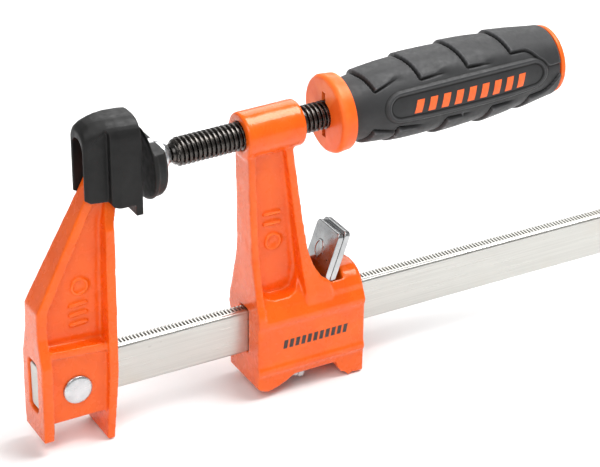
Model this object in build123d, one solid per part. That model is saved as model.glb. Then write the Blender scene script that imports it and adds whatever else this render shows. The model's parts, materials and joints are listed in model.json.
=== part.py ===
from build123d import *
import math
import os

# F clamp, light-duty steel-bar pattern with a 2-1/2 inch throat.
# Working frame: x along the bar away from the fixed jaw, x = 0 at the fixed jaw's rivet,
# y = 0 at the middle of the bar's thickness, z up from the underside of the bar.
# Every node is moved at export so that the row's origin is the centre of the fixed pad's face.

# ---------------------------------------------------------------- driving dimensions (mm)
BAR_H = 15.875  # 5/8 inch bar
BAR_T = 5.56  # 7/32 inch bar
BAR_X0, BAR_X1 = -12.2, 250.0
BAR_EDGE = 1.15  # rounded long edges of the bar
TOOTH_PITCH, TOOTH_DEPTH = 1.27, 0.32  # grip serrations, 20 to the inch
SLIDE_GAP = 0.20  # sliding jaw on the bar, per side

AXIS_Z0 = 77.45  # height of the screw's axis at x = 0
AXIS_TILT = 1.42  # the screw rises this many degrees towards the handle
SCREW_R = 4.70  # 3/8-16 screw, over the crests
BORE_R = 4.78
PAD_FACE_X = 23.6  # fixed pad's clamping face
SWIVEL_FACE = 26.3  # moving pad's clamping face, along the screw's axis

FLANGE_T = 2.8
WEB_HALF = 2.2
BLOCK_HALF = 5.5  # fixed jaw's thick part around the bar
RIVET_Z, RIVET_R, RIVET_HEAD_R = 5.9, 3.0, 4.95

BODY_X0, BODY_X1 = 62.7, 103.2  # sliding jaw's body
FOOT_Z = -14.6

LEAN = 19.3  # clutch plates at rest, from upright
PLATE_T, PLATE_GAP, PLATE_HALF = 2.15, 0.12, 7.2
PLATE_X, PLATE_Z = 89.2, 23.1  # a point on the first plate's front face

COLLAR_X, COLLAR_T, COLLAR_R = 91.9, 5.4, 13.2
GRIP_X1, HANDLE_X1 = 177.2, 179.4
STOP_X, STOP_R = 246.6, 1.6

SIN_L, COS_L = math.sin(math.radians(LEAN)), math.cos(math.radians(LEAN))
TAU = math.radians(AXIS_TILT)

# screw frame: local x along the screw's axis, origin where the axis crosses x = 0
SCREW = Location((0, 0, AXIS_Z0), (0, -AXIS_TILT, 0))
# plate frame: local x through the plates' thickness, local z up along them
PLATE = Location((PLATE_X, 0, PLATE_Z), (0, LEAN, 0))
ORIGIN = (PAD_FACE_X, 0, AXIS_Z0 + PAD_FACE_X * math.tan(TAU))

os.makedirs("parts", exist_ok=True)


# ---------------------------------------------------------------- helpers
def side(points, half):
    """A side-view (x, z) outline extruded to both sides of y = 0."""
    face = make_face(Polyline(*[(x, 0, z) for x, z in points], close=True))
    return extrude(face, amount=half, dir=(0, 1, 0), both=True)


def front(points, x0, x1):
    """A front-view (y, z) outline extruded from x0 to x1."""
    face = make_face(Polyline(*[(x0, y, z) for y, z in points], close=True))
    return extrude(face, amount=x1 - x0, dir=(1, 0, 0))


def mirrored(points):
    """Closed (y, z) outline from its right half, listed bottom to top."""
    return list(points) + [(-y, z) for y, z in reversed(points) if y > 1e-6]


def block(x0, x1, y0, y1, z0, z1):
    return Pos((x0 + x1) / 2, (y0 + y1) / 2, (z0 + z1) / 2) * Box(x1 - x0, y1 - y0, z1 - z0)


def rod(x0, x1, r):
    """A cylinder along local x."""
    return Pos((x0 + x1) / 2, 0, 0) * Rot(0, 90, 0) * Cylinder(r, x1 - x0)


def turned(profile):
    """A solid of revolution about local x from its (x, r) outline."""
    face = make_face(Polyline(*[(x, 0, r) for x, r in profile], close=True))
    return revolve(face, Axis.X, 360)


def soften(part, edges, radii):
    """Round a list of edges with the largest of the radii that the shape takes."""
    for r in radii:
        try:
            out = fillet(edges, r)
            if out.is_valid and out.volume > 0:
                return out
        except Exception:
            continue
    return part


def arch(half, z0, z1, corner, steps=8):
    """Upright (y, z) outline, flat at z0, with its two top corners rounded."""
    pts = [(half, z0)]
    for i in range(steps + 1):
        a = math.pi / 2 * i / steps
        pts.append((half - corner + corner * math.cos(a), z1 - corner + corner * math.sin(a)))
    return mirrored(pts)


# ---------------------------------------------------------------- bar, rivet, stop pin
bar = block(BAR_X0, BAR_X1, -BAR_T / 2, BAR_T / 2, 0, BAR_H)
bar = fillet(bar.edges().filter_by(Axis.X), BAR_EDGE)
TEETH_X0, TEETH_X1 = 16.0, 236.0
teeth = int((TEETH_X1 - TEETH_X0) / TOOTH_PITCH)
comb = [(TEETH_X0, BAR_H + 1.0)]
for i in range(teeth):
    x = TEETH_X0 + i * TOOTH_PITCH
    comb += [(x, BAR_H), (x + TOOTH_PITCH * 0.5, BAR_H - TOOTH_DEPTH)]
comb += [(TEETH_X0 + teeth * TOOTH_PITCH, BAR_H), (TEETH_X0 + teeth * TOOTH_PITCH, BAR_H + 1.0)]
bar -= side(comb, BAR_T)
rivet_hole = Pos(0, 0, RIVET_Z) * Rot(90, 0, 0) * Cylinder(RIVET_R, 40)
stop_hole = Pos(STOP_X, 0, BAR_H / 2) * Rot(90, 0, 0) * Cylinder(STOP_R, 40)
bar = bar - rivet_hole - stop_hole

head = Pos(0, -BLOCK_HALF - 0.65, RIVET_Z) * Rot(90, 0, 0) * Cylinder(RIVET_HEAD_R, 1.3)
head = fillet(head.edges().sort_by(Axis.Y)[0], 0.55)
tail = Pos(0, BLOCK_HALF + 0.55, RIVET_Z) * Rot(90, 0, 0) * Cylinder(4.4, 1.1)
tail = fillet(tail.edges().sort_by(Axis.Y)[-1], 0.6)
jaw_rivet = Pos(0, 0, RIVET_Z) * Rot(90, 0, 0) * Cylinder(RIVET_R, 2 * BLOCK_HALF) + head + tail

bar_stop_pin = Pos(STOP_X, 0, BAR_H / 2) * Rot(90, 0, 0) * Cylinder(STOP_R, 10.4)
bar_stop_pin = chamfer(bar_stop_pin.edges().filter_by(GeomType.CIRCLE), 0.3)

# ---------------------------------------------------------------- fixed jaw casting
# outer side-view outline: front face, head, slanted back, foot of each flange
FRONT_FACE = [
    (11.4, FOOT_Z), (13.5, 8.0), (13.7, 22.0), (14.2, 45.0), (14.6, 61.5), (16.2, 66.5), (16.2, 86.3),
]
FRONT_INSIDE = [
    (13.2, 86.3), (12.6, 68.0), (11.4, 61.5), (10.9, 45.0), (10.5, 22.0), (10.3, 8.0), (8.9, FOOT_Z),
]
BACK_FOOT = -10.0
BACK_FACE = [(-12.9, BACK_FOOT), (-12.7, 16.0), (-12.3, 36.0), (6.5, 71.5), (14.2, 85.9)]
front_flange = side(FRONT_FACE + FRONT_INSIDE, 12)
front_flange &= front(mirrored([(8.0, FOOT_Z), (8.0, 20.0), (6.7, 60.0), (3.5, 68.5), (3.4, 87.0)]), -30, 30)
slant = (FLANGE_T + 0.5) / math.cos(math.atan2(18.8, 35.5))
BACK_INSIDE = [
    (14.2 + 0.6, 85.9), (6.6 + slant, 71.5), (-12.2 + slant, 36.0), (-9.0, 30.0), (-8.8, 16.0),
    (-9.4, BACK_FOOT),
]
BACK_WIDTH = [(7.6, BACK_FOOT), (8.2, -5.0), (8.2, 17.0), (5.3, 27.0), (5.3, 38.0), (3.6, 70.0), (3.4, 87.0)]
back_flange = side(BACK_FACE + BACK_INSIDE, 12)
back_flange &= front(mirrored(BACK_WIDTH), -30, 30)
web = side(
    [(-12.0, 2.0), (-9.6, -5.0), (10.6, -5.0), (12.6, 10.0), (13.2, 60.0), (15.6, 67.0), (15.6, 86.0),
     (14.6, 86.0), (6.8, 71.4), (-12.0, 35.9)],
    WEB_HALF,
)
rivet_block = side([(-11.6, -5.0), (11.8, -5.0), (12.4, 19.0), (11.8, 20.6), (-11.6, 22.2)], BLOCK_HALF)
ledge = side([(-11.0, 19.4), (12.0, 17.8), (12.0, 20.6), (-11.0, 22.2)], 6.7)
fixed_jaw = front_flange + back_flange + web + rivet_block + ledge
# the bar's slot, open through both flanges, roomier at the back where the bar's end shows
fixed_jaw -= block(-30, 30, -BAR_T / 2 - 0.02, BAR_T / 2 + 0.02, -0.02, BAR_H + 0.02)
back_slot = front(mirrored([(0.0, -1.3), (2.6, -1.1), (3.4, 0.2), (3.4, 15.9), (2.6, 17.0)]), -30, -10.2)
fixed_jaw -= back_slot
fixed_jaw -= rivet_hole
# raised casting marks in the pocket: three plain bars and a ring
for z in (28.0, 31.4, 34.8):
    fixed_jaw += Pos(2.6, 0, z) * Rot(0, -4, 0) * Box(6.0, 2 * WEB_HALF + 1.1, 1.3)
ring = Pos(3.4, 0, 41.0) * Rot(90, 0, 0) * (Cylinder(3.2, 2 * WEB_HALF + 1.1) - Cylinder(2.0, 12))
fixed_jaw += ring

# ---------------------------------------------------------------- fixed jaw's pad (plastic cap)
# one smooth dome, narrow behind and wide at the face, drawn through upright sections:
# (x, half width, top, corner radius)
CAP_SECTIONS = [
    (5.7, 4.7, 92.8, 3.7), (6.4, 5.3, 94.2, 4.4), (8.2, 5.8, 95.4, 4.9), (10.6, 6.6, 96.0, 5.4),
    (13.4, 7.7, 96.3, 6.0), (16.5, 8.3, 96.4, 6.3), (21.0, 8.3, 96.2, 6.3), (PAD_FACE_X, 8.3, 95.8, 6.2),
]
CAP_FOOT, BULGE_FOOT, BACK_FOOT_Z, RECESS_HALF, BULGE_X = 64.0, 67.6, 70.9, 5.45, 13.4


def cap_section(x, half, top, corner):
    outline = [(x, y, z) for y, z in arch(half, CAP_FOOT, top, corner)]
    return make_face(Polyline(*outline, close=True))


cap = loft([cap_section(*section) for section in CAP_SECTIONS], ruled=True)
# the sides fall back below a curved brow, between the back edge and the bulge
BROW = [
    (4.0, 60.0), (BULGE_X, 60.0), (BULGE_X, 93.2), (12.5, 93.9), (11.0, 93.0), (9.3, 91.3), (8.0, 89.6),
    (6.4, 86.0), (4.0, 80.0),
]
brow = side(BROW, 20)
cap -= brow & (block(0, 30, -20, -RECESS_HALF, 50, 100) + block(0, 30, RECESS_HALF, 20, 50, 100))
# the hems: lowest at the face, higher on the bulge and highest at the back
HEM = [
    (0.0, 60.0), (0.0, BACK_FOOT_Z), (6.2, BACK_FOOT_Z), (7.4, 70.0), (BULGE_X, 69.4), (BULGE_X + 0.8, 68.2),
    (16.0, BULGE_FOOT), (PAD_FACE_X - 2.3, BULGE_FOOT), (PAD_FACE_X - 2.3, 60.0),
]
cap -= side(HEM, 20)
# channel that the jaw's head fills, open behind and below
cap -= front(arch(3.9, 60.0, 90.4, 3.6), 0, 13.2)
cap -= front(arch(4.3, 60.0, 88.6, 3.6), 12.0, 16.6)
cap -= front(arch(6.4, 60.0, 70.6, 1.0), 15.6, PAD_FACE_X - 2.3)
fixed_jaw_pad = cap

# ---------------------------------------------------------------- sliding jaw casting
left_flange = side([(62.7, 14.0), (62.8, 40.0), (62.0, 76.0), (64.6, 76.0), (65.4, 40.0), (65.5, 14.0)], 14)
LEFT_WIDTH = [
    (10.6, 12.0), (11.0, 16.0), (9.7, 20.0), (7.8, 27.0), (5.9, 36.0), (5.3, 47.5), (4.9, 72.0), (4.6, 76.0),
]
left_flange &= front(mirrored(LEFT_WIDTH), 50, 120)
right_flange = side(
    [(77.9, 76.0), (80.5, 54.5), (82.8, 36.0), (84.5, 30.5), (87.4, 25.4), (90.8, 22.6), (90.8, 14.0),
     (81.5, 14.0), (80.8, 26.0), (79.9, 33.6), (77.6, 54.5), (75.1, 76.0)],
    14,
)
RIGHT_WIDTH = [(10.4, 12.0), (9.6, 20.0), (8.0, 27.0), (6.0, 47.5), (5.0, 72.0), (4.6, 76.0)]
right_flange &= front(mirrored(RIGHT_WIDTH), 50, 120)
column_web = side(
    [(63.0, 14.0), (62.2, 76.0), (76.6, 76.0), (79.0, 54.5), (82.0, 33.6), (84.0, 14.0)], WEB_HALF
)
POCKET_FLOOR = [
    (63.2, 12.0), (63.2, 31.0), (64.6, 27.0), (65.6, 23.6), (67.2, 21.4), (70.2, 20.4), (75.8, 20.4),
    (78.4, 21.6), (79.9, 24.4), (80.5, 30.0), (84.0, 26.0), (84.0, 12.0),
]
pocket_floor = side(POCKET_FLOOR, 9.2)
pocket_floor &= front(mirrored([(10.4, 12.0), (9.4, 18.0), (7.4, 21.0), (4.0, 25.0), (2.0, 30.0)]), 50, 120)
# the body's section, with a rib along each side above and below
LOWER_HALF = [
    (9.9, -8.7), (10.3, -6.6), (11.0, -5.3), (11.1, -4.0), (10.4, -2.4), (10.35, 11.0), (11.0, 12.6),
    (11.1, 14.0), (10.3, 15.6), (9.4, 17.4),
]
lower = front(mirrored(LOWER_HALF), BODY_X0, BODY_X1)
HUMP_HALF = [(10.4, 12.0), (9.6, 16.6), (9.2, 19.4), (8.0, 21.6), (6.2, 23.2), (3.8, 24.4), (0.0, 24.9)]
hump = front(mirrored(HUMP_HALF), 81.0, BODY_X1)
hump_end = hump.faces().sort_by(Axis.X)[-1]
hump = soften(hump, hump_end.edges().sort_by(Axis.Z)[-8:], (1.6, 1.0, 0.6))
LEFT_FOOT = [
    (BODY_X0, -7.0), (BODY_X0, -10.8), (64.0, -11.9), (66.6, -12.7), (70.1, -11.8), (73.8, -10.2),
    (76.6, -8.4), (78.6, -7.0),
]
RIGHT_FOOT = [
    (91.6, -7.2), (92.4, -8.6), (93.3, -11.0), (94.6, -12.9), (96.0, -13.4), (97.4, FOOT_Z - 0.3),
    (98.8, FOOT_Z + 0.3), (103.0, FOOT_Z), (BODY_X1, -7.0),
]
left_foot = side(LEFT_FOOT, 10.3)
right_foot = side(RIGHT_FOOT, 10.3)
boss = SCREW * rod(61.0, 81.9, 7.7)
boss = soften(boss, boss.edges().filter_by(GeomType.CIRCLE), (0.9, 0.6))
sliding_jaw = lower + hump + left_foot + right_foot + boss
sliding_jaw = sliding_jaw + column_web + left_flange + right_flange + pocket_floor
# through slot for the bar
sliding_jaw -= block(50, 120, -BAR_T / 2 - SLIDE_GAP, BAR_T / 2 + SLIDE_GAP, -SLIDE_GAP, BAR_H + SLIDE_GAP)
# slanted well for the clutch plates, wider behind them at the top
WELL = [
    (73.1, -20.0), (84.4, 18.0), (84.7, 40.0), (99.0, 40.0), (95.8, 20.5), (93.2, 14.0), (84.4, -12.0),
    (84.4, -20.0),
]
sliding_jaw -= side(WELL, PLATE_HALF + 0.25)
sliding_jaw -= Pos(84.3, 0, 20.3) * Rot(0, 90, 0) * Cylinder(2.4, 4.6)
sliding_jaw -= SCREW * rod(50, 95, BORE_R)
# raised casting marks in the column's pocket: two bars and a ring
for z in (50.0, 46.4):
    sliding_jaw += Pos(71.6, 0, z) * Box(5.4, 2 * WEB_HALF + 1.1, 1.3)
sliding_jaw += Pos(72.0, 0, 39.6) * Rot(90, 0, 0) * (Cylinder(3.0, 2 * WEB_HALF + 1.1) - Cylinder(1.8, 12))

# ---------------------------------------------------------------- clutch plates and their spring
PLATE_TOP, PLATE_FOOT = 16.3, -37.0


def plate(t0, top):
    """One clutch plate, t0 from the first face, with the window the bar runs through."""
    p = block(t0, t0 + PLATE_T, -PLATE_HALF, PLATE_HALF, PLATE_FOOT, top)
    p = fillet(p.edges().filter_by(Axis.X).sort_by(Axis.Z)[-2:], 1.7)
    p = chamfer(p.edges().filter_by(Axis.X).sort_by(Axis.Z)[:2], 1.0)
    # low and high ends of the window, along the plate
    s0 = (0 - PLATE_Z + t0 * SIN_L) / COS_L - 0.25
    s1 = (BAR_H - PLATE_Z + (t0 + PLATE_T) * SIN_L) / COS_L + 0.25
    p -= block(t0 - 1, t0 + PLATE_T + 1, -BAR_T / 2 - 0.3, BAR_T / 2 + 0.3, s0, s1)
    return PLATE * p


clutch_plate_front = plate(0.0, PLATE_TOP)
clutch_plate_rear = plate(PLATE_T + PLATE_GAP, PLATE_TOP + 1.0)

SPRING_X0, SPRING_X1, SPRING_Z, SPRING_R, WIRE = 82.1, 87.2, 20.3, 1.85, 0.25
turns = 5
coil_length = SPRING_X1 - SPRING_X0 - 2 * WIRE
coil = Helix(pitch=coil_length / turns, height=coil_length, radius=SPRING_R)
section = Plane(origin=coil @ 0, z_dir=coil % 0) * Circle(WIRE)
clutch_spring = sweep(section, path=coil, is_frenet=True)
clutch_spring = Pos(SPRING_X0 + WIRE, 0, SPRING_Z) * Rot(0, 90, 0) * clutch_spring

# ---------------------------------------------------------------- screw, swivel and moving pad
screw = turned(
    [(36.7, 0), (36.7, 3.1), (37.7, 3.1), (37.9, 4.0), (38.6, SCREW_R), (COLLAR_X + 12.0, SCREW_R),
     (COLLAR_X + 12.6, 4.1), (150.0, 4.1), (151.0, 3.1), (151.0, 0)]
)
PIN_X, PIN_R = 96.1, 1.1
cross_hole = Pos(PIN_X, 0, 0) * Cylinder(PIN_R + 0.02, 60)
screw = SCREW * (screw - cross_hole)

BALL_X, BALL_R = 32.0, 3.0
swivel_ball = SCREW * (Pos(BALL_X, 0, 0) * Sphere(BALL_R) + rod(BALL_X, 36.65, 1.9))

socket = turned(
    [(28.6, 0), (28.6, 6.0), (29.7, 6.0), (29.7, 4.9), (33.8, 4.9), (35.9, 3.3), (35.9, 2.6), (34.4, 2.45),
     (34.0, 2.45), (33.0, 3.1), (29.2, 3.1), (29.2, 0)]
)
socket -= Pos(BALL_X, 0, 0) * Sphere(BALL_R + 0.08)
for a in (0, 90, 180, 270):
    socket -= Rot(a + 45, 0, 0) * Pos(32.2, 0, 6.0) * Cylinder(0.7, 4)
swivel_socket = SCREW * socket

pad = turned(
    [(SWIVEL_FACE, 0), (SWIVEL_FACE, 11.4), (26.6, 12.1), (27.4, 12.4), (28.0, 12.0), (30.2, 11.8),
     (31.0, 11.2), (31.3, 10.2), (31.3, 6.3), (28.5, 6.3), (28.5, 0)]
)
# the rim is cut down behind the face, where the socket shows above it
pad -= block(26.9, 40, -20, 20, 6.3, 20)
swivel_pad = SCREW * pad

# ---------------------------------------------------------------- handle
core = turned(
    [(COLLAR_X, SCREW_R + 0.02), (COLLAR_X, COLLAR_R - 1.5), (COLLAR_X + 0.5, COLLAR_R - 0.5),
     (COLLAR_X + 1.5, COLLAR_R), (COLLAR_X + COLLAR_T, COLLAR_R - 0.4), (COLLAR_X + COLLAR_T, 8.0),
     (170.0, 8.0), (170.0, 4.12), (105.1, 4.12), (104.6, SCREW_R + 0.02)]
)
# the cross slot that takes the pin
core -= block(COLLAR_X - 1, COLLAR_X + 3.0, -1.15, 1.15, -7.9, 7.9)
core -= Pos(PIN_X, 0, 0) * Cylinder(PIN_R + 0.02, 18.04)
handle_core = SCREW * core
handle_cross_pin = SCREW * (Pos(PIN_X, 0, 0) * Cylinder(PIN_R, 18.0))

GRIP_X0 = COLLAR_X + COLLAR_T
GRIP = [
    (GRIP_X0, 10.8), (100.2, 11.3), (104.0, 11.9), (110.0, 12.8), (116.0, 13.6), (124.0, 14.2), (135.0, 14.6),
    (147.0, 14.7), (157.0, 14.3), (166.0, 13.4), (172.0, 12.6), (GRIP_X1, 12.0),
]
grip = turned([(GRIP_X0, 8.0)] + GRIP + [(GRIP_X1, 8.0)])
# stadium-shaped recess on two opposite sides, each floor a shallow dish in the barrel
PANEL_X0, PANEL_X1, PANEL_HALF, PANEL_TURN, PANEL_DEPTH = 108.8, 171.0, 5.2, 9.0, 0.8
recess_floor = turned([(100.0, 0)] + [(x, r - PANEL_DEPTH) for x, r in GRIP if x > 103] + [(GRIP_X1, 0)])
slot = Rot(90, 0, 0) * extrude(SlotOverall(PANEL_X1 - PANEL_X0, 2 * PANEL_HALF), amount=3.0, both=True)
for turn in (0, 180):
    recess = Rot(turn - PANEL_TURN, 0, 0) * Pos((PANEL_X0 + PANEL_X1) / 2, -14.0, 0) * slot
    grip -= recess - recess_floor
handle_grip = SCREW * grip

handle_end_cap = SCREW * turned(
    [(170.1, 0), (170.1, 7.6), (GRIP_X1, 7.6), (GRIP_X1, 11.7), (HANDLE_X1 - 0.5, 11.5), (HANDLE_X1, 11.0),
     (HANDLE_X1, 0)]
)

# ---------------------------------------------------------------- export
nodes = {
    "bar": bar,
    "bar_stop_pin": bar_stop_pin,
    "fixed_jaw": fixed_jaw,
    "jaw_rivet": jaw_rivet,
    "fixed_jaw_pad": fixed_jaw_pad,
    "sliding_jaw": sliding_jaw,
    "clutch_plate_front": clutch_plate_front,
    "clutch_plate_rear": clutch_plate_rear,
    "clutch_spring": clutch_spring,
    "screw": screw,
    "swivel_ball": swivel_ball,
    "swivel_socket": swivel_socket,
    "swivel_pad": swivel_pad,
    "handle_core": handle_core,
    "handle_cross_pin": handle_cross_pin,
    "handle_grip": handle_grip,
    "handle_end_cap": handle_end_cap,
}
shift = Pos(-ORIGIN[0], -ORIGIN[1], -ORIGIN[2])
for name, shape in nodes.items():
    shape = shift * shape
    if len(shape.solids()) == 1:
        shape = shape.solids()[0]
    export_step(shape, f"parts/{name}.step")
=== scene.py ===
import json
import math

import bmesh
import bpy
import numpy as np
from mathutils import Matrix, Vector


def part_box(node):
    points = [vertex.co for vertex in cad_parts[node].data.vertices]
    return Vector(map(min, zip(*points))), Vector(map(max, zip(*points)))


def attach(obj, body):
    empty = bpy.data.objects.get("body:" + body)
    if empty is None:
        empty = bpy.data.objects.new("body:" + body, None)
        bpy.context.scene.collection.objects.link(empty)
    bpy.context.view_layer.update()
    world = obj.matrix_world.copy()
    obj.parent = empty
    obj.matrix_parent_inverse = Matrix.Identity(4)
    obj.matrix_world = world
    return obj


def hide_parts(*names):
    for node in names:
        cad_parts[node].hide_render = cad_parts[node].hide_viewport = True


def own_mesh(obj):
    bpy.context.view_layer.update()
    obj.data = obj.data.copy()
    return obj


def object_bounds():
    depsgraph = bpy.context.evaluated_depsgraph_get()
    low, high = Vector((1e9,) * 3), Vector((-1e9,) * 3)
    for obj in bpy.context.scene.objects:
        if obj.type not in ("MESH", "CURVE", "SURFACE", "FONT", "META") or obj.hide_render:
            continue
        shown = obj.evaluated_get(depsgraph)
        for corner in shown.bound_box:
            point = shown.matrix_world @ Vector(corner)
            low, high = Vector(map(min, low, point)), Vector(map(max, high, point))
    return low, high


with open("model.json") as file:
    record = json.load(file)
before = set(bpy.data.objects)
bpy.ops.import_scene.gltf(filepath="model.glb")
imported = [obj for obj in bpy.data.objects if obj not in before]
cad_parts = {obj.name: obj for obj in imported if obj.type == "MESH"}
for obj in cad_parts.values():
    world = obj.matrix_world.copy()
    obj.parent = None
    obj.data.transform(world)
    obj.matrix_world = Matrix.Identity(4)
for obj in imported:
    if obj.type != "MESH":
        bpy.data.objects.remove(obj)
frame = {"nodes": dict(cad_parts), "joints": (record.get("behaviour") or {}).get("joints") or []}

CAD_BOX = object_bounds()
MM = 0.001

# ---------------------------------------------------------------- places, from the frame
# The design's own frame: x = 0 at the jaw's rivet, z = 0 at the bar's underside, in millimetres.
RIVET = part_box("jaw_rivet")
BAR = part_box("bar")
HOME = Vector(((RIVET[0].x + RIVET[1].x) / 2, 0, BAR[0].z))
BAR_TOP = (BAR[1].z - BAR[0].z) / MM
JOINTS = {j["name"]: j for j in frame["joints"]}
TURN = JOINTS["screw_turn"]
AXIS = Vector(TURN["axis"]).normalized()
ON_AXIS = Vector(TURN["pos_m"])
AXIS_START = ON_AXIS + AXIS * ((HOME.x - ON_AXIS.x) / AXIS.x)
ACROSS = Vector((0, 1, 0))
RISE = AXIS.cross(ACROSS)
SCREW_PITCH = 1.5875


def place(x, y, z):
    """A point of the design's frame, in millimetres, as a row-frame point."""
    return HOME + Vector((x, y, z)) * MM


def along(s, r, angle):
    """A point s along the screw's axis, r from it. The angle turns from +Y up towards +Z."""
    return AXIS_START + (AXIS * s + ACROSS * (r * math.cos(angle)) + RISE * (r * math.sin(angle))) * MM


def smooth_step(value):
    t = np.clip(value, 0.0, 1.0)
    return t * t * (3 - 2 * t)


# ---------------------------------------------------------------- materials
def ramp(tree, source, stops):
    """A colour ramp on source, from (position, colour) stops."""
    node = tree.nodes.new("ShaderNodeValToRGB")
    tree.links.new(source, node.inputs["Fac"])
    elements = node.color_ramp.elements
    while len(elements) < len(stops):
        elements.new(0.5)
    for element, (position, colour) in zip(elements, stops):
        element.position = position
        element.color = (*colour, 1)
    return node.outputs["Color"]


def noise(tree, scale, detail=3.0, stretch=None, roughness=0.5):
    """Noise over the object, scale in cells per metre; stretch gives it a grain."""
    coords = tree.nodes.new("ShaderNodeTexCoord").outputs["Object"]
    if stretch:
        mapping = tree.nodes.new("ShaderNodeMapping")
        mapping.inputs["Scale"].default_value = stretch
        tree.links.new(coords, mapping.inputs["Vector"])
        coords = mapping.outputs["Vector"]
    node = tree.nodes.new("ShaderNodeTexNoise")
    node.inputs["Scale"].default_value = scale
    node.inputs["Detail"].default_value = detail
    node.inputs["Roughness"].default_value = roughness
    tree.links.new(coords, node.inputs["Vector"])
    return node.outputs["Fac"]


def span(tree, source, low, high, start=0.3, end=0.7):
    """source from start to end spread over low to high."""
    node = tree.nodes.new("ShaderNodeMapRange")
    node.inputs["From Min"].default_value = start
    node.inputs["From Max"].default_value = end
    node.inputs["To Min"].default_value = low
    node.inputs["To Max"].default_value = high
    tree.links.new(source, node.inputs["Value"])
    return node.outputs["Result"]


def mix(tree, factor, one, two, kind="MIX"):
    """Blend two colours; factor, one and two are outputs or constants."""
    node = tree.nodes.new("ShaderNodeMix")
    node.data_type, node.blend_type = "RGBA", kind
    for socket, value in ((node.inputs[0], factor), (node.inputs[6], one), (node.inputs[7], two)):
        if isinstance(value, bpy.types.NodeSocket):
            tree.links.new(value, socket)
        else:
            socket.default_value = value if isinstance(value, float) else (*value, 1)
    return node.outputs[2]


def edges(tree, start, end):
    """0 on flats, 1 on outer edges."""
    point = tree.nodes.new("ShaderNodeNewGeometry").outputs["Pointiness"]
    return span(tree, point, 0.0, 1.0, start, end)


def bump(tree, layers):
    """Bump layers of (height, distance in metres, strength), chained."""
    normal = None
    for height, distance, strength in layers:
        node = tree.nodes.new("ShaderNodeBump")
        node.inputs["Distance"].default_value = distance
        node.inputs["Strength"].default_value = strength
        tree.links.new(height, node.inputs["Height"])
        if normal:
            tree.links.new(normal, node.inputs["Normal"])
        normal = node.outputs["Normal"]
    return normal


def surface(name, **constants):
    """A new material and its Principled shader, with constant sockets set by name."""
    material = bpy.data.materials.new(name)
    material.use_nodes = True
    tree = material.node_tree
    shader = next(n for n in tree.nodes if n.type == "BSDF_PRINCIPLED")
    for key, value in constants.items():
        shader.inputs[key.replace("_", " ")].default_value = value
    return material, tree, shader


def finish_material(tree, shader, colour, roughness, normal):
    tree.links.new(colour, shader.inputs["Base Color"])
    tree.links.new(roughness, shader.inputs["Roughness"])
    tree.links.new(normal, shader.inputs["Normal"])


ORANGE, ORANGE_DEEP, ORANGE_PALE = (0.88, 0.114, 0.004), (0.80, 0.092, 0.003), (0.92, 0.16, 0.014)


def orange_paint():
    """Gloss paint over a casting: soft orange peel, slow undulation, paler on worn edges."""
    material, tree, shader = surface(
        "orange_paint", Specular_IOR_Level=0.45, Specular_Tint=(1.0, 0.70, 0.45, 1.0), Coat_Weight=0.3,
        Coat_Roughness=0.07,
    )
    cloud = noise(tree, 90, 4)
    colour = ramp(tree, cloud, [(0.3, ORANGE_DEEP), (0.62, ORANGE)])
    colour = mix(tree, edges(tree, 0.52, 0.60), colour, ORANGE_PALE)
    specks = span(tree, noise(tree, 620, 2), 0.0, 0.22, 0.76, 0.84)
    colour = mix(tree, specks, colour, (0.55, 0.05, 0.004))
    rough = span(tree, noise(tree, 260, 3), 0.20, 0.34)
    peel = bump(tree, [(noise(tree, 130, 2), 0.0012, 0.22), (noise(tree, 800, 2), 0.00012, 0.16)])
    finish_material(tree, shader, colour, rough, peel)
    return material


def orange_plastic():
    """Semi-gloss moulding with a fine texture and faint flow marks."""
    material, tree, shader = surface("orange_plastic", Specular_Tint=(1.0, 0.75, 0.55, 1.0))
    flow = noise(tree, 60, 3, (1, 3, 3))
    colour = ramp(tree, flow, [(0.3, (0.88, 0.105, 0.008)), (0.65, (0.93, 0.128, 0.011))])
    colour = mix(tree, edges(tree, 0.52, 0.62), colour, (1.0, 0.20, 0.04))
    rough = span(tree, noise(tree, 500, 3), 0.32, 0.46)
    finish_material(tree, shader, colour, rough, bump(tree, [(noise(tree, 1600, 3), 0.00006, 0.3)]))
    return material


def black_plastic():
    """Matt black moulding, finely grained, greyer where it is rubbed."""
    material, tree, shader = surface("black_plastic", Specular_IOR_Level=0.24)
    cloud = noise(tree, 70, 4)
    colour = ramp(tree, cloud, [(0.35, (0.007, 0.007, 0.007)), (0.65, (0.012, 0.0118, 0.0115))])
    colour = mix(tree, edges(tree, 0.51, 0.60), colour, (0.030, 0.029, 0.027))
    rough = span(tree, noise(tree, 400, 4), 0.38, 0.56)
    grain = bump(tree, [(noise(tree, 1500, 3), 0.0001, 0.35), (noise(tree, 150, 2), 0.0006, 0.12)])
    finish_material(tree, shader, colour, rough, grain)
    return material


def grip_rubber():
    """Matt charcoal rubber with dust on its raised edges, and painted shade that darkens its grooves."""
    material, tree, shader = surface(
        "grip_rubber", Specular_IOR_Level=0.32, Sheen_Weight=0.05, Sheen_Roughness=0.5,
    )
    cloud = noise(tree, 110, 5)
    colour = ramp(tree, cloud, [(0.32, (0.019, 0.0192, 0.020)), (0.68, (0.028, 0.0285, 0.0295))])
    colour = mix(tree, edges(tree, 0.515, 0.58), colour, (0.12, 0.12, 0.125))
    # painted shade: the grooves and creases of the relief are darkened to near black
    colour = mix(tree, edges(tree, 0.498, 0.478), colour, (0.001, 0.001, 0.001))
    rough = span(tree, noise(tree, 600, 3), 0.44, 0.60)
    grain = bump(tree, [(noise(tree, 2200, 4), 0.00008, 0.35), (noise(tree, 300, 2), 0.0002, 0.15)])
    finish_material(tree, shader, colour, rough, grain)
    return material


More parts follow.
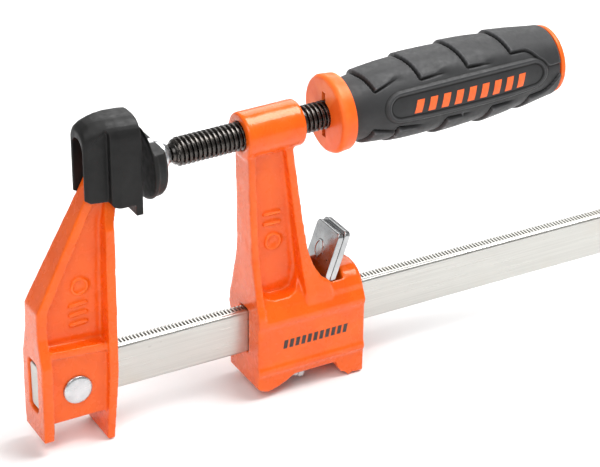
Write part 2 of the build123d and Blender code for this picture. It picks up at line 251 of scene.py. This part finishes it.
def black_oxide():
    """Oiled black oxide on a rolled thread: glossy crests, brownish where it has rubbed."""
    material, tree, shader = surface("black_oxide", Metallic=1.0)
    cloud = noise(tree, 400, 4)
    colour = ramp(tree, cloud, [(0.3, (0.045, 0.043, 0.042)), (0.7, (0.105, 0.096, 0.088))])
    colour = mix(tree, edges(tree, 0.53, 0.64), colour, (0.34, 0.31, 0.28))
    rough = span(tree, noise(tree, 900, 3), 0.16, 0.34)
    finish_material(tree, shader, colour, rough, bump(tree, [(noise(tree, 1800, 3), 0.00005, 0.3)]))
    return material


def bar_steel():
    """Cold-drawn bar: fine lengthwise brushing, faint warm stains, a few nicks, and painted shade in its
    serration grooves.
    """
    material, tree, shader = surface("bar_steel", Metallic=1.0, Anisotropic=0.35)
    brushing = noise(tree, 60, 6, (0.35, 40, 40), 0.7)
    stain = noise(tree, 55, 5)
    colour = ramp(tree, brushing, [(0.3, (0.47, 0.465, 0.44)), (0.7, (0.56, 0.555, 0.525))])
    colour = mix(tree, span(tree, stain, 0.0, 0.45, 0.56, 0.74), colour, (0.52, 0.48, 0.41))
    nicks = span(tree, noise(tree, 420, 2, (0.5, 1, 1)), 0.0, 0.4, 0.73, 0.79)
    colour = mix(tree, nicks, colour, (0.30, 0.29, 0.27))
    # painted shade: the hollows at the bottom of the serration grooves are darkened to near black
    colour = mix(tree, edges(tree, 0.47, 0.43), colour, (0.05, 0.045, 0.04))
    rough = span(tree, noise(tree, 90, 5, (0.6, 25, 25)), 0.26, 0.44)
    scratches = bump(tree, [(brushing, 0.00002, 0.22), (nicks, 0.00005, 0.3)])
    finish_material(tree, shader, colour, rough, scratches)
    return material


def zinc():
    """Bright zinc plate, slightly blue and mottled."""
    material, tree, shader = surface("zinc", Metallic=1.0)
    cloud = noise(tree, 350, 5)
    colour = ramp(tree, cloud, [(0.3, (0.46, 0.475, 0.485)), (0.7, (0.62, 0.63, 0.64))])
    spots = span(tree, noise(tree, 900, 3), 0.0, 0.5, 0.66, 0.74)
    colour = mix(tree, spots, colour, (0.34, 0.34, 0.35))
    rough = span(tree, noise(tree, 700, 4), 0.22, 0.40)
    finish_material(tree, shader, colour, rough, bump(tree, [(noise(tree, 1100, 4), 0.00007, 0.35)]))
    return material


def plate_steel():
    """Bright plated clutch plate with scuffs and pale scratches across it."""
    material, tree, shader = surface("plate_steel", Metallic=1.0)
    cloud = noise(tree, 160, 5)
    colour = ramp(tree, cloud, [(0.3, (0.34, 0.345, 0.35)), (0.7, (0.50, 0.505, 0.51))])
    scuff = span(tree, noise(tree, 500, 4, (1, 0.25, 1)), 0.0, 0.7, 0.62, 0.72)
    colour = mix(tree, scuff, colour, (0.27, 0.26, 0.25))
    rough = span(tree, noise(tree, 420, 5), 0.10, 0.30)
    waves = bump(tree, [(noise(tree, 140, 2), 0.0004, 0.16), (noise(tree, 1500, 3), 0.00003, 0.3)])
    finish_material(tree, shader, colour, rough, waves)
    return material


def print_ink(name, dark, light, rough_low):
    """Pad-printed ink, a little uneven."""
    material, tree, shader = surface(name)
    colour = ramp(tree, noise(tree, 900, 4), [(0.3, dark), (0.7, light)])
    rough = span(tree, noise(tree, 700, 3), rough_low, rough_low + 0.15)
    finish_material(tree, shader, colour, rough, bump(tree, [(noise(tree, 2000, 2), 0.00003, 0.2)]))
    return material


def pale_floor():
    """A plain pale studio floor."""
    material, tree, shader = surface("pale_floor", Specular_IOR_Level=0.2)
    colour = ramp(tree, noise(tree, 3, 2), [(0.3, (0.86, 0.86, 0.86)), (0.7, (0.88, 0.88, 0.88))])
    rough = span(tree, noise(tree, 5, 2), 0.7, 0.8)
    finish_material(tree, shader, colour, rough, bump(tree, [(noise(tree, 40, 2), 0.0001, 0.05)]))
    return material


PAINT, PLASTIC, CAP_PLASTIC, RUBBER = orange_paint(), orange_plastic(), black_plastic(), grip_rubber()
OXIDE, STEEL, ZINC, PLATED = black_oxide(), bar_steel(), zinc(), plate_steel()
DARK_INK = print_ink("dark_ink", (0.016, 0.014, 0.014), (0.035, 0.03, 0.03), 0.4)
ORANGE_INK = print_ink("orange_ink", (0.86, 0.115, 0.016), (0.95, 0.15, 0.025), 0.45)


# ---------------------------------------------------------------- pieces
def add_piece(name, mesh, body, material, slot, *stands_for):
    """Link a finished mesh, ride it on its body and say what it stands for."""
    mesh.name = name
    piece = bpy.data.objects.new(name, mesh)
    bpy.context.scene.collection.objects.link(piece)
    mesh.materials.clear()
    mesh.materials.append(material)
    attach(piece, body)
    if stands_for:
        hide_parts(*stands_for)
    return piece


def tidy_mesh(name, verts, faces, sharp_angle=None):
    """A clean mesh from plain lists, outward normals, smooth shading."""
    mesh = bpy.data.meshes.new(name)
    mesh.from_pydata([tuple(v) for v in verts], [], [tuple(f) for f in faces])
    bm = bmesh.new()
    bm.from_mesh(mesh)
    bmesh.ops.remove_doubles(bm, verts=bm.verts, dist=1e-7)
    bmesh.ops.recalc_face_normals(bm, faces=bm.faces)
    bm.to_mesh(mesh)
    bm.free()
    mesh.polygons.foreach_set("use_smooth", [True] * len(mesh.polygons))
    if sharp_angle:
        mesh.set_sharp_from_angle(angle=math.radians(sharp_angle))
    return mesh


def cad_copy(node):
    """A welded copy of a CAD node's mesh."""
    mesh = frame["nodes"][node].data.copy()
    bm = bmesh.new()
    bm.from_mesh(mesh)
    bmesh.ops.remove_doubles(bm, verts=bm.verts, dist=1e-6)
    bm.to_mesh(mesh)
    bm.free()
    return mesh


def applied(mesh, *modifiers):
    """The mesh with (type, settings) modifiers applied in turn."""
    holder = bpy.data.objects.new("holder", mesh)
    bpy.context.scene.collection.objects.link(holder)
    for kind, settings in modifiers:
        modifier = holder.modifiers.new(kind.lower(), kind)
        for key, value in settings.items():
            setattr(modifier, key, value)
    result = bpy.data.meshes.new_from_object(holder.evaluated_get(bpy.context.evaluated_depsgraph_get()))
    bpy.data.objects.remove(holder)
    return result


def moulded(node, voxel, rounds):
    """A CAD node as a casting or moulding: remeshed and relaxed, so that every edge is softly rounded."""
    mesh = applied(
        cad_copy(node),
        ("REMESH", {"mode": "VOXEL", "voxel_size": voxel * MM, "use_smooth_shade": True}),
        ("SMOOTH", {"factor": 0.5, "iterations": rounds}),
    )
    mesh.polygons.foreach_set("use_smooth", [True] * len(mesh.polygons))
    return mesh


def bevelled(node, width, segments=3):
    """A CAD node with its sharp edges broken."""
    mesh = cad_copy(node)
    bm = bmesh.new()
    bm.from_mesh(mesh)
    bmesh.ops.dissolve_limit(bm, angle_limit=math.radians(0.5), verts=bm.verts, edges=bm.edges)
    bm.to_mesh(mesh)
    bm.free()
    mesh.polygons.foreach_set("use_smooth", [True] * len(mesh.polygons))
    return applied(
        mesh,
        ("BEVEL", {"width": width * MM, "segments": segments, "limit_method": "ANGLE",
                   "angle_limit": math.radians(38), "use_clamp_overlap": True}),
        ("WEIGHTED_NORMAL", {"keep_sharp": True}),
        ("TRIANGULATE", {"keep_custom_normals": True}),
    )


def rounded(profile, radius, steps=5):
    """An (x, r) outline with each inner corner replaced by a short arc."""
    points = [Vector(p) for p in profile]
    out = [points[0]]
    for before, corner, after in zip(points, points[1:], points[2:]):
        one, two = (before - corner), (after - corner)
        cut = min(radius, one.length * 0.45, two.length * 0.45)
        start, end = corner + one.normalized() * cut, corner + two.normalized() * cut
        for i in range(steps + 1):
            t = i / steps
            out.append(start.lerp(corner, t).lerp(corner.lerp(end, t), t))
    return out + [points[-1]]


def turned(profile, segments=112, wobble=None, to_point=along):
    """A closed turned mesh about the screw's axis. wobble(s, r, angle) may change the radius."""
    verts, faces = [], []
    for s, r in profile:
        for k in range(segments):
            angle = 2 * math.pi * k / segments
            radius = r if wobble is None else wobble(s, r, angle)
            verts.append(to_point(s, radius, angle))
    rows = len(profile)
    for i in range(rows - 1):
        for k in range(segments):
            n = (k + 1) % segments
            faces.append((i * segments + k, i * segments + n, (i + 1) * segments + n, (i + 1) * segments + k))
    faces.append(range(segments))
    faces.append(range((rows - 1) * segments, rows * segments))
    return verts, faces


def stroke(start, end, half_width, height, outward, steps=10):
    """A raised cast stroke with round ends and a domed back, on the face with that outward side."""
    line = end - start
    along_dir = line.normalized()
    side_dir = along_dir.cross(outward).normalized()
    rings = []
    for level, share in ((-0.4, 1.12), (0.0, 1.1), (0.3, 1.0), (0.7, 0.82), (0.92, 0.58), (1.0, 0.3)):
        ring = []
        for centre, turn in ((end, 0.0), (start, math.pi)):
            for i in range(steps + 1):
                angle = turn - math.pi / 2 + math.pi * i / steps
                offset = along_dir * math.cos(angle) + side_dir * math.sin(angle)
                ring.append(centre + offset * (half_width * share) + outward * (height * level))
        rings.append(ring)
    return joined_rings(rings)


def ring_mark(centre, one, two, radius, half_width, height, outward, segments=40):
    """A raised cast ring: a domed bead bent round an ellipse with half axes one and two times radius."""
    section = [
        (-1.1, -0.4), (-1.05, 0.1), (-0.75, 0.65), (-0.3, 0.95), (0.3, 0.95), (0.75, 0.65), (1.05, 0.1),
        (1.1, -0.4),
    ]
    verts, faces, count = [], [], len(section)
    for k in range(segments):
        angle = 2 * math.pi * k / segments
        out = one * math.cos(angle) + two * math.sin(angle)
        for across, level in section:
            verts.append(centre + out * (radius + across * half_width) + outward * (height * level))
    for k in range(segments):
        n = (k + 1) % segments
        for i in range(count):
            m = (i + 1) % count
            faces.append((k * count + i, k * count + m, n * count + m, n * count + i))
    return verts, faces


def joined_rings(rings):
    """A closed tube through rings of equally many points, as (verts, faces)."""
    count = len(rings[0])
    verts = [p for ring in rings for p in ring]
    faces = []
    for i in range(len(rings) - 1):
        for k in range(count):
            n = (k + 1) % count
            faces.append((i * count + k, i * count + n, (i + 1) * count + n, (i + 1) * count + k))
    faces.append(range(count))
    faces.append(range((len(rings) - 1) * count, len(rings) * count))
    return verts, faces


def merged(parts):
    """Several (verts, faces) lists as one."""
    verts, faces = [], []
    for some_verts, some_faces in parts:
        base = len(verts)
        verts += some_verts
        faces += [[base + i for i in face] for face in some_faces]
    return verts, faces


# ---------------------------------------------------------------- castings
def castings():
    """Both jaws, with the edges of a casting under thick paint."""
    fixed, sliding = moulded("fixed_jaw", 0.36, 9), moulded("sliding_jaw", 0.44, 7)
    add_piece("fixed_jaw_casting", fixed, "bar_and_fixed_jaw", PAINT, "orange_paint", "fixed_jaw")
    add_piece("sliding_jaw_casting", sliding, "sliding_jaw", PAINT, "orange_paint", "sliding_jaw")


WEB_HALF, BAR_MARK_HALF, RING_MARK_R, MARK_HEIGHT = 2.2, 2.6, 2.6, 0.85


def cast_marks(name, body, bars, ring):
    """Plain raised foundry marks, bars and a ring, on both sides of a web."""
    parts = []
    for side in (-1, 1):
        outward = Vector((0, side, 0))
        for x, z, tilt in bars:
            reach = Vector((math.cos(tilt), 0, math.sin(tilt))) * BAR_MARK_HALF * MM
            centre = place(x, side * WEB_HALF, z)
            parts.append(stroke(centre - reach, centre + reach, 0.68 * MM, MARK_HEIGHT * MM, outward))
        x, z = ring
        parts.append(ring_mark(place(x, side * WEB_HALF, z), Vector((1, 0, 0)), Vector((0, 0, 1)),
                               RING_MARK_R * MM, 0.66 * MM, MARK_HEIGHT * MM, outward))
    add_piece(name, tidy_mesh(name, *merged(parts)), body, PAINT, "orange_paint")


def foundry_marks():
    fixed_bars = [(2.6, z, 0.07) for z in (28.0, 31.4, 34.8)]
    sliding_bars = [(71.6, z, 0.0) for z in (50.0, 46.4)]
    cast_marks("fixed_jaw_marks", "bar_and_fixed_jaw", fixed_bars, (3.4, 41.0))
    cast_marks("sliding_jaw_marks", "sliding_jaw", sliding_bars, (72.0, 39.6))


# ---------------------------------------------------------------- screw, swivel and pads
THREAD_START, THREAD_END, CREST, ROOT = 37.9, 103.8, 4.68, 3.74


def thread_radius(s, r, angle):
    """Rolled 3/8-16 thread with rounded crests, right-handed about the axis."""
    if r < ROOT + 0.3 or s > THREAD_END or s < THREAD_START:
        return r
    phase = (s / SCREW_PITCH - angle / (2 * math.pi)) % 1.0
    flank = abs(phase - 0.5) * 2
    lift = max(0.0, min(1.0, (flank - 0.16) / 0.56))
    lift = lift * lift * (3 - 2 * lift)
    lead_in = min(1.0, (s - THREAD_START + 0.25) / 1.6)
    return ROOT + (CREST - ROOT) * lift * lead_in


def screw_and_swivel():
    """The threaded screw, the swivel socket, the moving pad and the fixed jaw's cap."""
    step = SCREW_PITCH / 18
    count = int((THREAD_END - THREAD_START) / step)
    profile = [(36.7, 2.7), (36.95, 3.0), (37.5, 3.05), (37.85, 3.4)]
    profile += [(THREAD_START + i * step, CREST) for i in range(count + 1)]
    profile += [(THREAD_END + 0.1, 4.1), (150.2, 4.1), (151.0, 3.2)]
    screw = tidy_mesh("screw_thread", *turned(profile, 72, thread_radius), sharp_angle=60)
    add_piece("screw_thread", screw, "screw_and_handle", OXIDE, "black_oxide", "screw")
    add_piece("socket_plated", bevelled("swivel_socket", 0.18), "swivel", ZINC, "zinc", "swivel_socket")
    pad, cap = moulded("swivel_pad", 0.24, 5), moulded("fixed_jaw_pad", 0.25, 8)
    add_piece("swivel_pad_moulding", pad, "swivel", CAP_PLASTIC, "black_plastic", "swivel_pad")
    add_piece("cap_moulding", cap, "bar_and_fixed_jaw", CAP_PLASTIC, "black_plastic", "fixed_jaw_pad")


# ---------------------------------------------------------------- rivet and clutch plates
PLATE_X, PLATE_Z, PLATE_LEAN = 89.2, 23.1, 19.3


def rivet_and_plates():
    """The domed rivet, and the two clutch plates with a plain oval stamp on the first."""
    middle = place(0, 0, (RIVET[0].z + RIVET[1].z) / 2 / MM - HOME.z / MM)
    half_y = (RIVET[1].y - RIVET[0].y) / 2 / MM
    outline = [
        (-half_y, 0.4), (-half_y + 0.02, 3.4), (-half_y + 0.16, 4.3), (-half_y + 0.5, 4.85), (-5.9, 4.93),
        (-5.3, 4.9), (-5.2, 3.0), (5.2, 3.0), (5.3, 4.35), (5.9, 4.4), (6.25, 4.1), (half_y - 0.1, 3.0),
        (half_y, 0.4),
    ]

    def about_y(s, r, angle):
        return middle + Vector((r * math.cos(angle), s, r * math.sin(angle))) * MM

    head = tidy_mesh("rivet_headed", *turned(rounded(outline, 0.25), 72, None, about_y))
    add_piece("rivet_headed", head, "bar_and_fixed_jaw", ZINC, "zinc", "jaw_rivet")
    for node in ("clutch_plate_front", "clutch_plate_rear"):
        add_piece(node + "_plated", bevelled(node, 0.36, 3), "clutch", PLATED, "plate_steel", node)
    lean = math.radians(PLATE_LEAN)
    up, out = Vector((math.sin(lean), 0, math.cos(lean))), Vector((-math.cos(lean), 0, math.sin(lean)))
    stamp = ring_mark(place(PLATE_X, 1.4, PLATE_Z) + up * (7.6 * MM), ACROSS, up * 1.35, 2.1 * MM, 0.36 * MM,
                      0.22 * MM, out)
    add_piece("plate_stamp", tidy_mesh("plate_stamp", *stamp), "clutch", PLATED, "plate_steel")


SPRING_TURNS, SPRING_WIRE, SPRING_STEPS, SPRING_SIDES = 5, 0.25, 140, 10


def spring():
    """The coil that leans the plates."""
    low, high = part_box("clutch_spring")
    radius = (high.z - low.z) / 2 - SPRING_WIRE * MM
    middle = Vector((0, 0, (low.z + high.z) / 2))
    first, last = low.x + SPRING_WIRE * MM, high.x - SPRING_WIRE * MM
    rings = []
    for i in range(SPRING_STEPS + 1):
        angle = 2 * math.pi * SPRING_TURNS * i / SPRING_STEPS
        centre = middle + Vector((first + (last - first) * i / SPRING_STEPS, 0, 0))
        outward = Vector((0, math.cos(angle), math.sin(angle)))
        ring = []
        for k in range(SPRING_SIDES):
            turn = 2 * math.pi * k / SPRING_SIDES
            reach = radius + SPRING_WIRE * MM * math.cos(turn)
            ring.append(centre + outward * reach + Vector((SPRING_WIRE * MM * math.sin(turn), 0, 0)))
        rings.append(ring)
    mesh = tidy_mesh("spring_coil", *joined_rings(rings))
    coil = add_piece("spring_coil", mesh, "sliding_jaw", ZINC, "zinc", "clutch_spring")
    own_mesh(coil)


# ---------------------------------------------------------------- bar
TEETH_X0, TEETH_PITCH, TEETH_COUNT, TEETH_DEPTH, TEETH_Y0 = 16.0, 1.27, 173, 0.55, -1.0
CORNER_R, END_CHAMFER = 1.15, 0.25


def bar_section():
    """The bar's rounded section as (y, z) points, with enough points across its top for the serrations."""
    half, radius = (BAR[1].y - BAR[0].y) / 2 / MM, CORNER_R
    points = []
    for y, z, start in ((half - radius, radius, -90), (half - radius, BAR_TOP - radius, 0),
                        (radius - half, BAR_TOP - radius, 90), (radius - half, radius, 180)):
        for i in range(7):
            angle = math.radians(start + 15 * i)
            points.append((y + radius * math.cos(angle), z + radius * math.sin(angle)))
        if start == 0:
            inner = half - radius
            points += [(inner - (inner * 2) * k / 13, BAR_TOP) for k in range(1, 13)]
    return points


def serrated_bar():
    """The bar with sharp narrow grooves rolled across the far part of its top edge."""
    start, end = (BAR[0].x - HOME.x) / MM, (BAR[1].x - HOME.x) / MM
    stations = [start, start + END_CHAMFER]
    depths, insets = [0.0, 0.0], [END_CHAMFER, 0.0]
    for tooth in range(TEETH_COUNT):
        x = TEETH_X0 + tooth * TEETH_PITCH
        for share, depth in ((0.0, 0.0), (0.12, 1.0), (0.46, 1.0), (0.60, 0.0)):
            stations.append(x + share * TEETH_PITCH)
            depths.append(depth * TEETH_DEPTH)
            insets.append(0.0)
    stations += [end - END_CHAMFER, end]
    depths += [0.0, 0.0]
    insets += [0.0, END_CHAMFER]
    section = bar_section()
    rings = []
    for x, depth, inset in zip(stations, depths, insets):
        ring = []
        for y, z in section:
            cut = depth * float(smooth_step((y - TEETH_Y0) / 0.35)) if z > BAR_TOP - 0.6 else 0.0
            shrink = Vector((0, y, z - BAR_TOP / 2)).normalized() * inset
            ring.append(place(x, y - shrink.y, z - cut - shrink.z))
        rings.append(ring)
    mesh = tidy_mesh("bar_serrated", *joined_rings(rings), sharp_angle=24)
    add_piece("bar_serrated", mesh, "bar_and_fixed_jaw", STEEL, "bar_steel", "bar")


# ---------------------------------------------------------------- handle
GRIP_X0, GRIP_X1, CORE_R = 97.3, 177.2, 8.0
GRIP_OUTLINE = [
    (GRIP_X0, 10.8), (100.2, 11.3), (104.0, 11.9), (110.0, 12.8), (116.0, 13.6), (124.0, 14.2), (135.0, 14.6),
    (147.0, 14.7), (157.0, 14.3), (166.0, 13.4), (172.0, 12.6), (GRIP_X1, 12.0),
]
PANEL_X0, PANEL_X1, PANEL_HALF, PANEL_TURN = 108.8, 171.0, 5.6, 9.0
TOP_LEADS, LOW_LEADS = (104.0, 120.4, 138.1, 155.8), (102.6, 111.3, 129.2, 146.6, 162.5)
TOP_CLIMBS, LOW_CLIMBS = (11.0, 1.0, -2.0, 0.0), (8.0, 3.0, 0.0, 0.0, 0.0)
SHINGLE_LIFT, SHINGLE_REACH, BASE_DROP, LEAD_SLANT = 1.15, 18.5, 0.95, 2.2
GROOVE_DEPTH, GROOVE_HALF, STEP_WIDTH, GRIP_STANDARD_R, PANEL_R = 0.75, 0.34, 0.4, 13.5, 13.6


def grip_base(s):
    """The grip's smooth barrel radius at s."""
    xs, rs = zip(*GRIP_OUTLINE)
    fine = np.linspace(xs[0], xs[-1], 400)
    radii = np.interp(fine, xs, rs)
    kernel = np.hanning(41)
    radii = np.convolve(np.pad(radii, 20, "edge"), kernel / kernel.sum(), "valid")
    return np.interp(s, fine, radii)


def lead_edge(lead, turn):
    """Where a shingle's lead edge lies at turn degrees from the panel: it slants back towards the panel."""
    return lead + LEAD_SLANT * np.clip((82 - turn) / 48, 0, 1)


def groove(distance):
    """1 in the middle of a groove that runs just outside an edge, 0 away from it."""
    return np.exp(-(((distance + 0.25) / GROOVE_HALF) ** 2))


def shingle(s, turn, lead, climb, wraps_end):
    """One raised shingle: a step at its lead edge, a step along its lower edge, fading towards the next."""
    past = s - lead_edge(lead, turn)
    lower = 35.0 + climb * np.clip(past / 9.0, 0, 1)
    if wraps_end:
        lower = 40.0 - 34.0 * smooth_step((past - 5.0) / 9.5)
    beyond = (turn - lower) * math.radians(1) * GRIP_STANDARD_R
    # the step along the lower edge widens until it is gone
    soft = STEP_WIDTH + 4.2 * smooth_step((past - 4.0) / 9.0) * (not wraps_end)
    inside = smooth_step(past / STEP_WIDTH) * smooth_step((beyond + 0.5 * (soft - STEP_WIDTH)) / soft)
    fade = np.clip(1 - past / (60.0 if wraps_end else SHINGLE_REACH), 0, 1) ** 0.8
    before = groove(past) * smooth_step((turn - lower + 2) / 2)
    under = groove(beyond) * smooth_step((past + 0.3) / 0.6) * (1 - smooth_step((past - 1.0) / 10.0))
    return SHINGLE_LIFT * inside * fade - GROOVE_DEPTH * np.maximum(before, under)


def panel_relief(s, across):
    """The stadium: a thin outer groove, a rounded rim, and a sunk floor. across is in millimetres."""
    middle = np.clip(s, PANEL_X0 + PANEL_HALF, PANEL_X1 - PANEL_HALF)
    inside = PANEL_HALF - np.hypot(s - middle, across)
    floor = -0.5 * smooth_step((inside - 1.25) / 0.45)
    rim = 0.16 * smooth_step(inside / 0.4) * (1 - smooth_step((inside - 1.2) / 0.3))
    line = -0.16 * np.exp(-(((inside + 0.15) / 0.3) ** 2))
    return floor + rim + line, smooth_step((inside + 0.6) / 0.5)


def grip_radius(s, angle):
    """Radius over the whole grip; angle in degrees turns from the near side up over the top."""
    base = grip_base(s) - BASE_DROP
    relief = np.zeros_like(s)
    level = np.zeros_like(s)
    for face in (PANEL_TURN, PANEL_TURN + 180.0):
        off = (angle - face + 180.0) % 360.0 - 180.0
        near = np.abs(off) <= 90.0
        for leads, climbs, sign in ((TOP_LEADS, TOP_CLIMBS, 1), (LOW_LEADS, LOW_CLIMBS, -1)):
            if face > 90:
                sign = -sign
            on_side = near & (off * sign > 0)
            lift = np.zeros_like(s)
            for i, (lead, climb) in enumerate(zip(leads, climbs)):
                one = shingle(s, np.abs(off), lead, climb, i == len(leads) - 1)
                covered = s > lead_edge(lead, np.abs(off)) - 0.5
                lift = np.where(covered, one, lift)
            relief = np.where(on_side, lift, relief)
        across = np.radians(off) * PANEL_R
        sunk, mask = panel_relief(s, across)
        relief = np.where(near, relief * (1 - mask) + sunk, relief)
        level = np.where(near, np.maximum(level, mask), level)
    ends = smooth_step((s - GRIP_X0) / 1.2) * smooth_step((GRIP_X1 - s) / 0.8)
    return base + BASE_DROP * 0.5 * level + relief * ends - 0.5 * (1 - ends) ** 2


def near_side(angle):
    """The angle about the axis, in radians, of an angle that counts in degrees from the near side upwards."""
    return math.pi - math.radians(angle)


def grip():
    """The rubber grip, its whole relief in the mesh."""
    columns, rows = 300, 280
    s = np.linspace(GRIP_X0 + 0.02, GRIP_X1 - 0.02, rows)[:, None] * np.ones((1, columns))
    angle = np.linspace(0, 360, columns, endpoint=False)[None, :] * np.ones((rows, 1))
    radius = grip_radius(s, angle)
    verts, faces = [], []
    for row in range(rows):
        for col in range(columns):
            verts.append(along(s[row, col], radius[row, col], near_side(angle[row, col])))
    for row in range(rows - 1):
        here, above = row * columns, (row + 1) * columns
        for col in range(columns):
            n = (col + 1) % columns
            faces.append((here + col, here + n, above + n, above + col))
    # inner wall on the core, so that the moulding is a closed shell
    inner = []
    for s_in in (GRIP_X0 + 0.02, GRIP_X1 - 0.02):
        inner.append(len(verts))
        for col in range(columns):
            verts.append(along(s_in, CORE_R, near_side(angle[0, col])))
    for col in range(columns):
        n = (col + 1) % columns
        faces.append((inner[0] + col, inner[0] + n, n, col))
        last = (rows - 1) * columns
        faces.append((last + col, last + n, inner[1] + n, inner[1] + col))
        faces.append((inner[0] + n, inner[0] + col, inner[1] + col, inner[1] + n))
    mesh = tidy_mesh("grip_moulding", verts, faces)
    add_piece("grip_moulding", mesh, "screw_and_handle", RUBBER, "grip_rubber", "handle_grip")


def printed_bars():
    """A plain row of slanted orange bars in each panel, where a printed name would be."""
    parts = []
    count, first, last, centre = 9, 118.2, 162.5, -3.0
    pitch = (last - first) / count
    for face in (PANEL_TURN, PANEL_TURN + 180.0):
        for i in range(count):
            left = first + i * pitch
            grid, columns, rows = [], 5, 9
            for low_or_high in (0.09, -0.10):
                for row in range(rows):
                    up = (row / (rows - 1) - 0.5) * 4.6
                    for col in range(columns):
                        s = left + 0.9 + col / (columns - 1) * (pitch - 2.3) + up * 0.28
                        angle = face + centre + math.degrees(up / PANEL_R)
                        surface_r = float(grip_radius(np.array([[s]]), np.array([[angle]]))[0, 0])
                        grid.append(along(s, surface_r + low_or_high, near_side(angle)))
            faces = []
            size = columns * rows
            for row in range(rows - 1):
                for col in range(columns - 1):
                    a = row * columns + col
                    quad = (a, a + 1, a + columns + 1, a + columns)
                    faces.append(quad)
                    faces.append([size + k for k in reversed(quad)])
            rim = list(range(columns)) + [r * columns + columns - 1 for r in range(1, rows)]
            rim += [size - 1 - k for k in range(1, columns)] + [r * columns for r in range(rows - 2, 0, -1)]
            for one, two in zip(rim, rim[1:] + rim[:1]):
                faces.append((one, size + one, size + two, two))
            parts.append((grid, faces))
    mesh = tidy_mesh("grip_print", *merged(parts), sharp_angle=50)
    add_piece("grip_print", mesh, "screw_and_handle", ORANGE_INK, "orange_plastic")


def collar_and_end():
    """The orange collar with its core, and the end cap with a dished face."""
    collar = bevelled("handle_core", 0.35)
    add_piece("collar_moulding", collar, "screw_and_handle", PLASTIC, "orange_plastic", "handle_core")
    outline = [
        (170.1, 7.4), (177.1, 7.6), (177.22, 11.65), (178.6, 11.6), (179.38, 10.7), (179.38, 7.4),
        (178.9, 6.9), (178.9, 2.4), (179.2, 2.0), (179.2, 0.3),
    ]
    end = tidy_mesh("end_cap_moulding", *turned(rounded(outline, 0.5), 128), sharp_angle=50)
    add_piece("end_cap_moulding", end, "screw_and_handle", PLASTIC, "orange_plastic", "handle_end_cap")


BODY_HALF = 10.4


def body_print():
    """A plain row of short dark bars on each side of the jaw's body, where a printed name would be."""
    parts = []
    count, first, last, bottom, top = 11, 71.9, 96.8, 2.7, 5.8
    pitch, lean = (last - first) / count, 0.55
    for side in (-1, 1):
        face_y = side * BODY_HALF
        for i in range(count):
            x = first + i * pitch
            right = x + pitch * 0.62
            corners = [(x, bottom), (right, bottom), (right + lean, top), (x + lean, top)]
            outer = [place(a, face_y + side * 0.035, b) for a, b in corners]
            inner = [place(a, face_y - side * 0.30, b) for a, b in corners]
            faces = [(0, 1, 2, 3), (7, 6, 5, 4)]
            faces += [(k, (k + 1) % 4, (k + 1) % 4 + 4, k + 4) for k in range(4)]
            parts.append((outer + inner, faces))
    mesh = tidy_mesh("body_print", *merged(parts), sharp_angle=30)
    add_piece("body_print", mesh, "sliding_jaw", DARK_INK, "black_plastic")


def carried_over():
    """CAD nodes that show as they are, with their own finishes."""
    for node, material in (("bar_stop_pin", ZINC), ("swivel_ball", OXIDE),
                           ("handle_cross_pin", ZINC)):
        slots = frame["nodes"][node].data.materials
        slots.clear()
        slots.append(material)


# ---------------------------------------------------------------- floor, light and camera
def studio():
    """A plain pale floor, an even pale world and three soft lights."""
    bpy.ops.mesh.primitive_plane_add(size=6, location=(0.05, 0, CAD_BOX[0].z - 0.0002))
    floor = bpy.context.object
    floor.name = "floor"
    floor.data.materials.append(pale_floor())
    world = bpy.data.worlds.new("studio")
    bpy.context.scene.world = world
    world.use_nodes = True
    background = world.node_tree.nodes["Background"]
    background.inputs["Color"].default_value = (1, 1, 1, 1)
    background.inputs["Strength"].default_value = 0.40
    middle = (CAD_BOX[0] + CAD_BOX[1]) / 2
    for name, offset, size, power in (
        ("key", (0.36, -0.10, 0.95), 0.60, 14.0),
        ("fill", (-0.55, -0.55, 0.75), 0.60, 4.5),
        ("back", (0.45, 0.75, 0.65), 0.7, 4.0),
    ):
        light = bpy.data.lights.new(name, "AREA")
        light.shape, light.size, light.energy = "SQUARE", size, power
        lamp = bpy.data.objects.new(name, light)
        bpy.context.scene.collection.objects.link(lamp)
        lamp.location = middle + Vector(offset)
        lamp.rotation_mode = "QUATERNION"
        lamp.rotation_quaternion = Vector(offset).to_track_quat("Z", "Y")


def camera():
    """Seen from above and to the left of the fixed jaw, through a long lens."""
    turn, tilt, roll = math.radians(29.336), math.radians(28.202), math.radians(0.607)
    right = Vector((math.cos(turn), -math.sin(turn), 0))
    ahead = Vector((math.sin(turn) * math.cos(tilt), math.cos(turn) * math.cos(tilt), -math.sin(tilt)))
    up = right.cross(ahead)
    side = right * math.cos(roll) + up * math.sin(roll)
    top = up * math.cos(roll) - right * math.sin(roll)
    data = bpy.data.cameras.new("camera")
    data.sensor_width, data.lens = 36.0, 125.73
    data.clip_start, data.clip_end = 0.01, 20
    seer = bpy.data.objects.new("camera", data)
    bpy.context.scene.collection.objects.link(seer)
    matrix = Matrix((side, top, -ahead)).transposed().to_4x4()
    matrix.translation = Vector((-0.2384, -0.5310, 0.2869))
    seer.matrix_world = matrix
    bpy.context.scene.camera = seer
    bpy.context.scene.view_settings.view_transform = "Standard"


camera()
studio()
castings()
foundry_marks()
screw_and_swivel()
rivet_and_plates()
spring()
serrated_bar()
grip()
printed_bars()
collar_and_end()
body_print()
carried_over()
